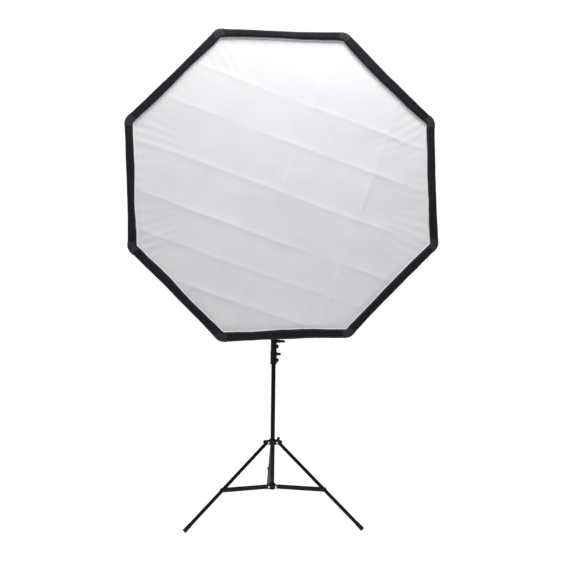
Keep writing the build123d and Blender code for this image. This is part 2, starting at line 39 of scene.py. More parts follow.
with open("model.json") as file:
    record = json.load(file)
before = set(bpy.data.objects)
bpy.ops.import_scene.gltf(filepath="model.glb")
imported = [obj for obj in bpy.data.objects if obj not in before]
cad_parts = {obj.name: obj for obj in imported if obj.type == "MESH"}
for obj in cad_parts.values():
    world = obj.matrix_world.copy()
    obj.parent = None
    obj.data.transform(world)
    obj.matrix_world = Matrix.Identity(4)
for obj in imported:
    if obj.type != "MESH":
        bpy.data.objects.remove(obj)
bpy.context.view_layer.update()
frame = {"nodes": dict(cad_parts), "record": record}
nodes = frame["nodes"]


def middle_of(node):
    low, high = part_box(node)
    return [(a + b) / 2 for a, b in zip(low, high)]


COLUMN_Y = middle_of("column_lower")[1]
AXIS_X, _, AXIS_Z = middle_of("front_diffuser")
RIM_FRONT = COLUMN_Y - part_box("front_rim")[0][1]
REST_TURN = radians(1.45)
BOX_PLACE = (Matrix.Translation((AXIS_X, COLUMN_Y, AXIS_Z)) @ Matrix.Rotation(pi / 2, 4, "X")
             @ Matrix.Rotation(REST_TURN, 4, "Z"))

SIDES = 8
SIDE = 2 * pi / SIDES
HALF = pi / SIDES
RIM_FLAT = 0.562
RIM_WIDTH = 0.030
RIM_CORNER = 0.040
RIDGE_START = (0.095, 0.072)
RIDGE_END = (0.605, 0.5512)
RIDGE_TURN = radians(44)
DIFFUSER_Z = 0.5493
DIFFUSER_FLAT = 0.551

CLOTH_STEP = 0.0045
RIM_STEPS = (84, 12)

# How far the real corners stand from a true octagon: corner angle in degrees, then x and y.
CORNER_PULLS = ((22.5, -0.002, 0.0), (67.5, 0.006, -0.008), (157.5, -0.002, 0.0), (202.5, 0.005, 0.0),
                (247.5, -0.003, -0.0035), (292.5, 0.0, 0.0035), (337.5, 0.002, 0.0))

# How much wider or narrower the folded band looks on each side, from the right side round.
BAND_WIDTHS = (0.0, 0.0075, -0.0045, 0.0, -0.001, 0.002, 0.0035, 0.002)


# ---------------------------------------------------------------- shape helpers

def pulled(point):
    """Moves a point of the box with the corners that stand out of true."""
    x, y, z = point
    reach = hypot(x, y)
    angle = atan2(y, x)
    weight = (reach / 0.6) ** 1.5 * max(0.0, min(1.0, z / RIM_FRONT)) ** 1.2
    for corner, dx, dy in CORNER_PULLS:
        away = (angle - radians(corner) + pi) % (2 * pi) - pi
        if abs(away) < SIDE:
            share = cos(2 * away) ** 2 * weight
            x += dx * share
            y += dy * share
    return Vector((x, y, z))


def outward_at(angle):
    return Vector((cos(angle), sin(angle), 0))


def tangent_at(angle):
    return Vector((-sin(angle), cos(angle), 0))


def wobble(x, y=0.0, z=0.0, scale=1.0):
    return noise.noise(Vector((x * scale, y * scale, z * scale)))


def mesh_piece(name, points, faces, materials, smooth=True, warp=True, place=BOX_PLACE):
    mesh = bpy.data.meshes.new(name)
    spots = [place @ (pulled(p) if warp else Vector(p)) for p in points]
    mesh.from_pydata([tuple(p) for p in spots], [], faces)
    mesh.validate()
    for polygon in mesh.polygons:
        polygon.use_smooth = smooth
    for item in materials:
        mesh.materials.append(item)
    piece = bpy.data.objects.new(name, mesh)
    bpy.context.scene.collection.objects.link(piece)
    return piece


def grid_faces(rows, columns, close_rows=False, close_columns=False):
    faces = []
    for i in range(rows if close_rows else rows - 1):
        for j in range(columns if close_columns else columns - 1):
            a, b = i * columns + j, i * columns + (j + 1) % columns
            c, d = ((i + 1) % rows) * columns + (j + 1) % columns, ((i + 1) % rows) * columns + j
            faces.append((a, b, c, d))
    return faces


def thicken(piece, thickness, offset=-1.0, inner_material=0):
    modifier = piece.modifiers.new("thickness", "SOLIDIFY")
    modifier.thickness = thickness
    modifier.offset = offset
    modifier.material_offset = inner_material


def subdivide(piece, levels):
    modifier = piece.modifiers.new("smooth", "SUBSURF")
    modifier.levels = levels
    modifier.render_levels = levels


def settle(piece):
    """Applies the piece's modifiers, so that its mesh is final."""
    evaluated = piece.evaluated_get(bpy.context.evaluated_depsgraph_get())
    final = bpy.data.meshes.new_from_object(evaluated)
    piece.modifiers.clear()
    piece.data = final


def finish_piece(piece, body, slot, *replaced):
    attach(piece, body)
    if replaced:
        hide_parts(*replaced)
    return piece


def octagon_path(flat, corner, side_steps, corner_steps):
    """Points round a rounded octagon: place, outward angle, and share of the side, 0 to 1."""
    core = flat - corner
    half_side = core * tan(HALF)
    path = []
    for side in range(SIDES):
        facing = side * SIDE
        for step in range(side_steps):
            along = -1 + 2 * step / side_steps
            base = outward_at(facing) * core + tangent_at(facing) * half_side * along
            path.append((base, facing, (along + 1) / 2))
        hinge = outward_at(facing + HALF) * core / cos(HALF)
        for step in range(corner_steps):
            turn = facing + SIDE * step / corner_steps
            path.append((hinge, turn, 1.0 if step < corner_steps / 2 else 0.0))
    return path


def stitches(name, rows, pitch, length, radius, material, warp=True):
    """Thread dashes along rows of (point, normal), evenly spaced."""
    points, faces = [], []
    for row in rows:
        travelled, target = 0.0, pitch / 2
        for (p, n), (q, _) in zip(row, row[1:]):
            step = (q - p).length
            while step > 1e-6 and travelled + step >= target:
                spot = p.lerp(q, (target - travelled) / step)
                ahead = (q - p).normalized()
                side = n.cross(ahead).normalized()
                base = len(points)
                points += [spot - ahead * length / 2, spot + side * radius, spot + n * radius,
                           spot - side * radius, spot + ahead * length / 2]
                faces += [(base, base + 1, base + 2), (base, base + 2, base + 3),
                          (base + 4, base + 2, base + 1), (base + 4, base + 3, base + 2),
                          (base, base + 3, base + 4, base + 1)]
                target += pitch
            travelled += step
    return mesh_piece(name, points, faces, [material], smooth=False, warp=warp)


# ---------------------------------------------------------------- materials

class Look:
    """A procedural material on one Principled shader."""

    def __init__(self, name, color, roughness, **sockets):
        self.material = bpy.data.materials.new(name)
        self.material.use_nodes = True
        self.material.diffuse_color = (*color, 1)
        self.tree = self.material.node_tree
        self.shader = self.tree.nodes["Principled BSDF"]
        self.shader.inputs["Base Color"].default_value = (*color, 1)
        self.shader.inputs["Roughness"].default_value = roughness
        for socket, value in sockets.items():
            self.shader.inputs[socket.replace("_", " ")].default_value = value
        self.color = color
        self.place = self.node("ShaderNodeTexCoord").outputs["Object"]
        self.height = None

    def node(self, kind, **values):
        made = self.tree.nodes.new(kind)
        for key, value in values.items():
            if key in made.inputs:
                made.inputs[key].default_value = value
            else:
                setattr(made, key, value)
        return made

    def link(self, source, target):
        self.tree.links.new(source, target)

    def noise(self, scale, detail=3.0, rough=0.55):
        texture = self.node("ShaderNodeTexNoise", Scale=scale, Detail=detail, Roughness=rough)
        self.link(self.place, texture.inputs["Vector"])
        return texture.outputs["Fac"]

    def wave(self, scale, axis, profile="SIN"):
        texture = self.node("ShaderNodeTexWave", Scale=scale, bands_direction=axis, wave_profile=profile)
        self.link(self.place, texture.inputs["Vector"])
        return texture.outputs["Fac"]

    def ranged(self, value, low, high, start=0.3, end=0.7):
        span = self.node("ShaderNodeMapRange")
        span.inputs["From Min"].default_value = start
        span.inputs["From Max"].default_value = end
        span.inputs["To Min"].default_value = low
        span.inputs["To Max"].default_value = high
        self.link(value, span.inputs["Value"])
        return span.outputs["Result"]

    def math(self, operation, a, b):
        made = self.node("ShaderNodeMath", operation=operation)
        for socket, value in zip(made.inputs, (a, b)):
            if isinstance(value, (int, float)):
                socket.default_value = value
            else:
                self.link(value, socket)
        return made.outputs[0]

    def tint(self, value, other, start=0.35, end=0.65):
        """Mixes the base colour towards another where value is high."""
        source = self.shader.inputs["Base Color"]
        mix = self.node("ShaderNodeMix", data_type="RGBA")
        if source.is_linked:
            self.link(source.links[0].from_socket, mix.inputs[6])
        else:
            mix.inputs[6].default_value = (*self.color, 1)
        mix.inputs[7].default_value = (*other, 1)
        self.link(self.ranged(value, 0.0, 1.0, start, end), mix.inputs[0])
        self.link(mix.outputs[2], source)
        return self

    def rough(self, value, low, high):
        self.link(self.ranged(value, low, high), self.shader.inputs["Roughness"])
        return self

    def bump(self, value, strength, distance):
        made = self.node("ShaderNodeBump", Strength=strength, Distance=distance)
        self.link(value, made.inputs["Height"])
        if self.height is not None:
            self.link(self.height, made.inputs["Normal"])
        self.height = made.outputs["Normal"]
        self.link(self.height, self.shader.inputs["Normal"])
        return self

    def weave(self, threads_per_metre, strength, distance):
        """Plain weave from two crossed sets of threads."""
        scale = threads_per_metre / 20
        warp_threads = self.wave(scale, "X")
        weft_threads = self.wave(scale, "Z")
        return self.bump(self.math("MULTIPLY", warp_threads, weft_threads), strength, distance)


def lighter(color, factor):
    return tuple(min(1.0, c * factor) for c in color)


def black_nylon(name, color, threads=1600):
    look = Look(name, color, 0.62, Sheen_Weight=0.03, Sheen_Roughness=0.45, Specular_IOR_Level=0.15)
    look.tint(look.noise(9, 4), lighter(color, 1.7), 0.4, 0.75)
    look.rough(look.noise(60), 0.52, 0.72)
    look.weave(threads, 0.35, 0.0003)
    return look.bump(look.noise(45, 5), 0.12, 0.003).material


def diffuser_white(name):
    color = (0.845, 0.842, 0.858)
    look = Look(name, color, 0.78, Sheen_Weight=0.12, Sheen_Roughness=0.5, Specular_IOR_Level=0.3)
    look.tint(look.noise(6, 3), (0.80, 0.797, 0.816), 0.4, 0.8)
    look.tint(look.noise(240, 2), (0.87, 0.87, 0.88), 0.5, 0.8)
    look.weave(1400, 0.25, 0.0002)
    return look.bump(look.noise(30, 4), 0.10, 0.004).material


def silver_lining():
    look = Look("silver_lining", (0.62, 0.63, 0.65), 0.38, Metallic=0.75)
    look.tint(look.noise(14, 4), (0.5, 0.51, 0.53), 0.4, 0.7)
    look.rough(look.noise(80), 0.3, 0.5)
    return look.bump(look.noise(120, 4), 0.25, 0.002).material


def webbing(name, color):
    look = Look(name, color, 0.7, Sheen_Weight=0.3, Specular_IOR_Level=0.3)
    look.tint(look.noise(400, 2), lighter(color, 1.6), 0.45, 0.7)
    look.weave(700, 0.7, 0.0008)
    return look.bump(look.noise(90, 3), 0.15, 0.002).material


def thread(name, color):
    look = Look(name, color, 0.5, Sheen_Weight=0.3)
    look.tint(look.noise(900, 1), lighter(color, 1.5), 0.4, 0.7)
    return look.bump(look.wave(180, "DIAGONAL"), 0.4, 0.0002).material


def satin_paint():
    look = Look("satin_black_paint", (0.0025, 0.0025, 0.003), 0.34, Specular_IOR_Level=0.2)
    look.tint(look.noise(35, 5, 0.7), (0.006, 0.006, 0.007), 0.5, 0.8)
    look.tint(look.noise(260, 2, 0.8), (0.045, 0.044, 0.042), 0.74, 0.84)
    look.rough(look.noise(50, 4), 0.28, 0.46)
    return look.bump(look.noise(900, 2), 0.06, 0.0004).material


def moulded(name, color, roughness=0.5, grain=0.16):
    look = Look(name, color, roughness, Specular_IOR_Level=0.25)
    look.tint(look.noise(50, 4), lighter(color, 1.6), 0.45, 0.75)
    look.rough(look.noise(90, 4), roughness - 0.08, roughness + 0.12)
    return look.bump(look.noise(1300, 2), grain, 0.0004).material


def rubber():
    look = Look("foot_rubber", (0.010, 0.010, 0.0105), 0.82, Specular_IOR_Level=0.25)
    look.tint(look.noise(120, 4), (0.030, 0.029, 0.027), 0.5, 0.8)
    look.rough(look.noise(70), 0.7, 0.92)
    return look.bump(look.noise(700, 3), 0.25, 0.0005).material


def metal(name, color, roughness, brushed=0.0):
    look = Look(name, color, roughness, Metallic=1.0)
    look.tint(look.noise(60, 4), lighter(color, 0.78), 0.45, 0.8)
    look.rough(look.noise(150, 4), roughness * 0.8, roughness * 1.35)
    if brushed:
        look.bump(look.wave(90, "Z"), brushed, 0.0002)
    return look.bump(look.noise(500, 2), 0.05, 0.0003).material


def fibre_rod():
    look = Look("glass_fibre", (0.03, 0.03, 0.033), 0.35, Coat_Weight=0.2, Coat_Roughness=0.2)
    look.tint(look.noise(600, 2), (0.06, 0.06, 0.06), 0.5, 0.8)
    return look.bump(look.noise(800, 2), 0.1, 0.0003).material


NAVY_BLACK = black_nylon("navy_black_nylon", (0.0065, 0.0088, 0.0135))
BROWN_BLACK = black_nylon("brown_black_tape", (0.0115, 0.0068, 0.0068), 1200)
CANOPY_BLACK = black_nylon("canopy_nylon", (0.012, 0.0125, 0.015))
SILVER = silver_lining()
WHITE_CLOTH = diffuser_white("diffuser_cloth_white")
HEM_WHITE = diffuser_white("diffuser_hem_white")
PIPING_RED = webbing("piping_red_brown", (0.060, 0.018, 0.012))
PATCH_GREY = webbing("corner_webbing", (0.0135, 0.0145, 0.0170))
ELASTIC = webbing("elastic_black", (0.014, 0.014, 0.016))
HOOK_TAPE = webbing("hook_tape", (0.030, 0.017, 0.014))
THREAD_DARK = thread("thread_charcoal", (0.045, 0.045, 0.052))
THREAD_WHITE = thread("thread_white", (0.78, 0.78, 0.79))

CAD_LOOKS = {
    "stand_metal": satin_paint(),
    "collar_plastic": moulded("collar_nylon", (0.006, 0.006, 0.007), 0.5),
    "knob_plastic": moulded("knob_plastic", (0.008, 0.008, 0.009), 0.42, 0.1),
    "foot_rubber": rubber(),
    "bright_steel": metal("bright_steel", (0.72, 0.72, 0.72), 0.2),
    "spigot_metal": metal("turned_steel", (0.66, 0.65, 0.62), 0.28, 0.25),
    "bracket_plastic": moulded("bracket_nylon", (0.010, 0.010, 0.011), 0.55, 0.22),
    "ring_metal": metal("ring_aluminium", (0.62, 0.62, 0.63), 0.33, 0.3),
    "rod_fibre": fibre_rod(),
}


def dress_cad_nodes():
    for row in frame["record"]["subparts"]:
        look = CAD_LOOKS.get(row["material_slot"])
        node = nodes.get(row["node"])
        if look is None or node is None:
            continue
        for material_slot in node.material_slots:
            material_slot.material = look


# ---------------------------------------------------------------- canopy

def bow_point(along, inset=0.0):
    """(reach, depth) on the bowed line of a corner ridge, and its heading from the axis."""
    across = (RIDGE_END[0] - RIDGE_START[0], RIDGE_END[1] - RIDGE_START[1])
    span = hypot(*across)
    radius = span / (2 * sin(RIDGE_TURN / 2))
    rise = radius * cos(RIDGE_TURN / 2)
    centre = ((RIDGE_START[0] + RIDGE_END[0]) / 2 - across[1] / span * rise,
              (RIDGE_START[1] + RIDGE_END[1]) / 2 + across[0] / span * rise)
    heading = atan2(across[0], across[1]) + RIDGE_TURN * (0.5 - along)
    reach = radius - inset
    return (centre[0] + reach * cos(heading), centre[1] - reach * sin(heading)), heading


def canopy_point(side, across, along, lift=0.0):
    """A point of the cover: side number, -1 to 1 across the side, 0 to 1 from back to front."""
    (reach, depth), heading = bow_point(along)
    flat = reach * cos(HALF)
    half_width = reach * sin(HALF)
    facing = side * SIDE
    tension = sin(pi * min(1.0, along * 1.02)) ** 0.8
    sag = 0.011 * tension * (1 - across * across)
    ripple = 0.0011 * wobble(across * 1.4 + side * 7, along * 9, 1.7, 1.0) * tension
    pull = 0.0016 * sin(26 * pi * along + side) * exp(-5 * (1 - abs(across))) * tension
    at_front = exp(-9 * (1 - along)) * (1 - across ** 4)
    pull += 0.0022 * wobble(across * 5 + side * 3, along * 2.2, 4.1) * at_front
    lower = sag - ripple - pull - lift
    out = flat - lower * cos(heading)
    depth = depth + lower * sin(heading)
    sideways = across * half_width
    return outward_at(facing) * out + tangent_at(facing) * sideways + Vector((0, 0, depth))


def build_canopy():
    """One continuous cover, black outside and silver inside, drawn tight over the rods."""
    across_steps, along_steps = 22, 84
    rows = []
    for row in range(along_steps + 1):
        along = row / along_steps
        line = []
        for side in range(SIDES):
            for step in range(across_steps):
                line.append(canopy_point(side, sin(pi * (step / across_steps - 0.5)), along))
        rows.append(line)
    columns = SIDES * across_steps
    points = [p for line in rows for p in line]
    faces = grid_faces(along_steps + 1, columns, close_columns=True)
    piece = mesh_piece("canopy_fabric", points, faces, [CANOPY_BLACK, SILVER])
    thicken(piece, 0.0011, offset=-1, inner_material=1)
    settle(piece)
    return finish_piece(piece, "softbox", "black_fabric", "canopy_shell")


def ridge_line(corner, offset, lift, steps=120, start=0.02, end=0.965):
    """Points and normals along a corner ridge, offset to one side of it."""
    line = []
    for step in range(steps + 1):
        along = start + (end - start) * step / steps
        (reach, _), heading = bow_point(along)
        half_width = reach * sin(HALF)
        side = corner if offset < 0 else corner + 1
        across = 1 - abs(offset) / half_width if offset < 0 else -1 + abs(offset) / half_width
        facing = side * SIDE
        normal = Vector((cos(facing) * cos(heading), sin(facing) * cos(heading), -sin(heading)))
        line.append((canopy_point(side % SIDES, across, along, lift), normal))
    return line


def build_ridge_tapes():
    """Binding tape folded over each corner seam, stitched down both edges."""
    offsets = (-0.0085, -0.0045, -0.0012, 0.0012, 0.0045, 0.0085)
    lifts = (0.0004, 0.0009, 0.0016, 0.0016, 0.0009, 0.0004)
    for corner in range(SIDES):
        lines = [ridge_line(corner, o, h) for o, h in zip(offsets, lifts)]
        points = [p for line in lines for p, _ in line]
        faces = grid_faces(len(lines), len(lines[0]))
        faces = [tuple(reversed(face)) for face in faces]
        tape = mesh_piece(f"ridge_tape_{corner + 1}", points, faces, [ELASTIC])
        thicken(tape, 0.0008, offset=0)
        settle(tape)
        finish_piece(tape, "softbox", "black_fabric")
    rows = []
    for corner in range(SIDES):
        for offset in (-0.0062, 0.0062):
            rows.append(ridge_line(corner, offset, 0.0012))
    seam = stitches("ridge_stitching", rows, 0.0055, 0.0034, 0.0004, THREAD_DARK)
    finish_piece(seam, "softbox", "black_fabric")


# ---------------------------------------------------------------- front rim

RIM_SECTION = (
    (-0.0150, 0.5170), (-0.0095, 0.5300), (-0.0035, 0.5440), (-0.0004, 0.5520), (-0.0006, 0.5560),
    (-0.0028, 0.5588), (-0.0065, 0.5600), (-0.0115, 0.5606), (-0.0150, 0.5594), (-0.0190, 0.5603),
    (-0.0245, 0.5598), (-0.0285, 0.5582), (-0.0300, 0.5558), (-0.0294, 0.5534), (-0.0260, 0.5520),
    (-0.0130, 0.5516), (-0.0050, 0.5505), (-0.0070, 0.5440), (-0.0120, 0.5300), (-0.0170, 0.5172),
)
INNER_BAND = range(10, 15)


def rim_wave(base, outward, share, inward=0.0):
    """The fabric pulls in between corners, and its inner edge wanders more than its outer one."""
    ripple = 0.0007 * wobble(base.x, base.y, 0.3, 34) + 0.0016 * wobble(base.x, base.y, 2.3, 9)
    outer = -0.0030 * sin(pi * share) + ripple
    side = int(floor(atan2(outward.y, outward.x) / SIDE + 0.5)) % SIDES
    drift = 0.0042 * wobble(base.x, base.y, 7.7, 7.5) + 0.0012 * wobble(base.x, base.y, 4.1, 30)
    inner = 0.4 * outer + drift - BAND_WIDTHS[side] * sin(pi * share) ** 0.7
    return outer + (inner - outer) * inward


def rim_point(base, facing, share, out, forward, inward):
    """A point of the rim's section, moved with the rim's wavy edges."""
    outward = outward_at(facing)
    wave = rim_wave(base, outward, share, inward)
    return base + outward * (RIM_CORNER + out + wave) + Vector((0, 0, forward))


def rim_line(path, out, forward, inward):
    """Points and normals of a line of stitches all the way round the rim."""
    up = Vector((0, 0, 1))
    return [(rim_point(*spot, out, forward, inward), up) for spot in path + path[:1]]


def build_rim():
    """Folded fabric band round the front, with three rows of stitching."""
    path = octagon_path(RIM_FLAT, RIM_CORNER, *RIM_STEPS)
    points = []
    for base, facing, share in path:
        outward = outward_at(facing)
        puff = 0.0009 * wobble(base.x + outward.x * 0.1, base.y + outward.y * 0.1, 5.0, 26)
        for index, (out, forward) in enumerate(RIM_SECTION):
            swell = puff if 5 <= index <= 11 else 0.0
            inward = min(1.0, max(0.0, -out / RIM_WIDTH))
            points.append(rim_point(base, facing, share, out, forward + swell, inward))
    columns = len(RIM_SECTION)
    faces = grid_faces(len(path), columns, close_rows=True, close_columns=True)
    piece = mesh_piece("rim_hem", points, faces, [NAVY_BLACK, BROWN_BLACK])
    for polygon in piece.data.polygons:
        if (polygon.index % columns) in INNER_BAND:
            polygon.material_index = 1
    subdivide(piece, 1)
    settle(piece)
    finish_piece(piece, "softbox", "black_fabric", "front_rim")

    lines = ((-0.0055, 0.5602), (-0.0150, 0.5597), (-0.0262, 0.5594))
    rows = [rim_line(path, out, forward, -out / RIM_WIDTH) for out, forward in lines]
    seam = stitches("rim_stitching", rows, 0.0048, 0.0030, 0.0005, THREAD_DARK)
    finish_piece(seam, "softbox", "black_fabric")
    return piece


def build_piping():
    """Thin cord sewn along the rim's inner edge."""
    out, forward, radius, sides = -0.0302, 0.5560, 0.0011, 8
    path = octagon_path(RIM_FLAT, RIM_CORNER, *RIM_STEPS)
    points = []
    for base, facing, share in path:
        centre = rim_point(base, facing, share, out, forward, 1.0)
        for step in range(sides):
            turn = 2 * pi * step / sides
            around = outward_at(facing) * radius * cos(turn) + Vector((0, 0, radius * sin(turn)))
            points.append(centre + around)
    faces = grid_faces(len(path), sides, close_rows=True, close_columns=True)
    piping = mesh_piece("rim_piping", points, faces, [PIPING_RED])
    finish_piece(piping, "softbox", "trim_fabric")


PATCH_STEPS = 18
PATCH_BEND = 0.55
PATCH_OVERHANG = 0.010
PATCH_LIFT = 0.0004


def build_corner_patches():
    """Woven reinforcement over each rim corner, where a rod's tip pushes."""
    section = RIM_SECTION[2:13]
    core = (RIM_FLAT - RIM_CORNER) / cos(HALF)
    for corner in range(SIDES):
        facing = corner * SIDE + HALF
        hinge = outward_at(facing) * core
        rows = []
        for step in range(PATCH_STEPS + 1):
            sweep = -1 + 2 * step / PATCH_STEPS
            turn = facing + max(-1, min(1, sweep / PATCH_BEND)) * HALF
            past_bend = max(0.0, abs(sweep) - PATCH_BEND) / (1 - PATCH_BEND)
            slide = past_bend * PATCH_OVERHANG * (1 if sweep > 0 else -1)
            for index, (out, forward) in enumerate(section):
                lift_out = PATCH_LIFT if index < 4 else (-PATCH_LIFT * 0.6 if index > 9 else 0.0)
                lift_forward = PATCH_LIFT if 2 < index < 10 else 0.0
                rows.append(hinge + tangent_at(turn) * slide
                            + outward_at(turn) * (RIM_CORNER + out + lift_out)
                            + Vector((0, 0, forward + lift_forward)))
        faces = grid_faces(PATCH_STEPS + 1, len(section))
        patch = mesh_piece(f"corner_patch_{corner + 1}", rows, faces, [PATCH_GREY])
        thicken(patch, 0.0009, offset=0)
        subdivide(patch, 1)
        settle(patch)
        finish_piece(patch, "softbox", "black_fabric")


# ---------------------------------------------------------------- front diffuser

FOLD_TILT = radians(20.5)
LONG_FOLDS = (0.303, 0.152, -0.029, -0.202, -0.331, -0.455)
CROSS_FOLDS = (-0.299, 0.004, 0.297)


def crease(distance, depth, width):
    return depth * exp(-abs(distance) / width)


def octagon_gap(x, y, flat):
    """How far a point is inside an octagon's nearest side."""
    return min(flat - (x * cos(k * SIDE) + y * sin(k * SIDE)) for k in range(SIDES))


def diffuser_height(x, y):
    """Height of the cloth above its stretched plane: storage folds, pulls at the hem and corners."""
    down = x * sin(FOLD_TILT) + y * cos(FOLD_TILT)
    along = x * cos(FOLD_TILT) - y * sin(FOLD_TILT)
    height = 0.0
    for number, spot in enumerate(LONG_FOLDS):
        drift = 0.004 * wobble(along, number * 3.7, 0.0, 4)
        strength = 0.55 + 0.75 * wobble(along, number * 9.1, 5.0, 5)
        height += crease(down - spot - drift, 0.0030 * max(0.12, strength), 0.009)
        height += crease(down - spot - drift, 0.0025 * max(0.1, strength), 0.05)
    for number, spot in enumerate(CROSS_FOLDS):
        drift = 0.004 * wobble(down, number * 5.3, 2.0, 4)
        strength = 0.45 + 0.8 * wobble(down, number * 4.3, 8.0, 5)
        height += crease(along - spot - drift, 0.0026 * max(0.1, strength), 0.009)
        height += crease(along - spot - drift, 0.0020 * max(0.1, strength), 0.05)
    height += 0.0040 * wobble(x + 0.3 * y, y * 0.7, 3.0, 4.5) + 0.0012 * wobble(x, y, 6.0, 13)
    gap = octagon_gap(x, y, RIM_FLAT - RIM_WIDTH)
    reach, angle = hypot(x, y), atan2(y, x)
    to_corner = abs(angle % SIDE - HALF)
    fan = exp(-(0.605 - reach) / 0.13) * exp(-to_corner / 0.16)
    height += 0.0013 * fan * sin(angle * 95 + 3 * wobble(x, y, 1.0, 6))
    nearest = floor(angle / SIDE + 0.5) * SIDE
    run = -x * sin(nearest) + y * cos(nearest)
    height += 0.0008 * exp(-max(gap, 0) / 0.028) * sin(run * 150 + 4 * wobble(x, y, 9.0, 8))
    settle_in = max(0.0, min(1.0, (gap + 0.004) / 0.03))
    height *= 1.0 - 0.45 * max(0.0, min(1.0, (y + 0.05) / 0.35))
    return -0.0015 + height * settle_in - 0.004 * (1 - (reach / 0.6) ** 2) * settle_in


def build_diffuser():
    """White cloth stretched over the front, with the creases it keeps from being folded away."""
    count = int(DIFFUSER_FLAT * 1.09 / CLOTH_STEP)
    points, index_at, faces = [], {}, []
    for i in range(-count, count + 1):
        for j in range(-count, count + 1):
            x, y = i * CLOTH_STEP, j * CLOTH_STEP
            gap = octagon_gap(x, y, DIFFUSER_FLAT)
            if gap < -CLOTH_STEP * 1.3:
                continue
            if gap < 0:
                side = max(range(SIDES), key=lambda k: x * cos(k * SIDE) + y * sin(k * SIDE))
                x += cos(side * SIDE) * gap
                y += sin(side * SIDE) * gap
            index_at[i, j] = len(points)
            points.append(Vector((x, y, DIFFUSER_Z + diffuser_height(x, y))))
    for i, j in index_at:
        corners = [(i, j), (i + 1, j), (i + 1, j + 1), (i, j + 1)]
        if all(c in index_at for c in corners):
            faces.append(tuple(index_at[c] for c in corners))
    piece = mesh_piece("diffuser_cloth", points, faces, [WHITE_CLOTH])
    thicken(piece, 0.0006, offset=-1)
    settle(piece)
    return finish_piece(piece, "softbox", "white_fabric", "front_diffuser")


def build_diffuser_hem():
    """Rolled white edge of the diffuser, with its row of stitches."""
    path = octagon_path(RIM_FLAT, RIM_CORNER, *RIM_STEPS)
    section = ((-0.0290, 0.5506), (-0.0300, 0.5518), (-0.0320, 0.5520), (-0.0338, 0.5508), (-0.0342, 0.5486),
               (-0.0320, 0.5482))
    hem_points = [rim_point(*spot, out, forward, 1.0) for spot in path for out, forward in section]
    faces = grid_faces(len(path), len(section), close_rows=True, close_columns=True)
    hem = mesh_piece("diffuser_hem", hem_points, faces, [HEM_WHITE])
    finish_piece(hem, "softbox", "white_fabric")
    row = rim_line(path, -0.0318, 0.5521, 1.0)
    seam = stitches("hem_stitching", [row], 0.0042, 0.0028, 0.0004, THREAD_WHITE)
    finish_piece(seam, "softbox", "white_fabric")


TAPE_FLAT = 0.548
TAPE_CORNER = 0.020
TAPE_SECTION = ((0.0, 0.5500), (0.0, 0.5511), (-0.0165, 0.5511), (-0.0165, 0.5500))


def build_hook_tape():
    """Hook-and-loop tape between the diffuser's edge and the rim."""
    path = octagon_path(TAPE_FLAT, TAPE_CORNER, 60, 10)
    points = []
    for base, facing, _ in path:
        for out, forward in TAPE_SECTION:
            points.append(base + outward_at(facing) * (TAPE_CORNER + out) + Vector((0, 0, forward)))
    faces = grid_faces(len(path), len(TAPE_SECTION), close_rows=True, close_columns=True)
    tape = mesh_piece("hook_and_loop_tape", points, faces, [HOOK_TAPE])
    finish_piece(tape, "softbox", "trim_fabric", "hook_and_loop_strip")


# ---------------------------------------------------------------- inside and back of the box

BAFFLE_FLAT = 0.250
BAFFLE_Z = 0.3304


def build_baffle():
    """Second diffuser inside, hung from the rods on eight elastic straps."""
    rings, spokes = 26, 96
    points = [Vector((0, 0, BAFFLE_Z - 0.003))]
    for ring in range(1, rings + 1):
        share = ring / rings
        for spoke in range(spokes):
            angle = 2 * pi * spoke / spokes
            nearest = floor(angle / SIDE + 0.5) * SIDE
            edge = BAFFLE_FLAT / cos(angle - nearest)
            edge -= 0.012 * cos(pi * (angle - nearest) / SIDE) ** 2 * share
            x, y = edge * share * cos(angle), edge * share * sin(angle)
            height = 0.0022 * wobble(x, y, 7.0, 12) * (1 - share ** 4)
            height -= 0.003 * (1 - share * share)
            corner = abs(abs(angle - nearest) - HALF)
            height += 0.0012 * sin(angle * 60) * exp(-corner * 9) * share ** 3
            points.append(Vector((x, y, BAFFLE_Z + height)))
    faces = [(0, 1 + k, 1 + (k + 1) % spokes) for k in range(spokes)]
    for ring in range(rings - 1):
        for k in range(spokes):
            a, b = 1 + ring * spokes + k, 1 + ring * spokes + (k + 1) % spokes
            faces.append((a, a + spokes, b + spokes, b))
    piece = mesh_piece("baffle_cloth", points, faces, [WHITE_CLOTH])
    thicken(piece, 0.0005, offset=0)
    settle(piece)
    return finish_piece(piece, "softbox", "white_fabric", "inner_baffle")


ROD_INSET = 0.008


def rod_reach_at(depth):
    """How far from the box's axis a rod is, at a depth from back to front."""
    low, high = 0.0, 1.0
    for _ in range(30):
        half = (low + high) / 2
        if bow_point(half, ROD_INSET)[0][1] < depth:
            low = half
        else:
            high = half
    return bow_point(low, ROD_INSET)[0][0]


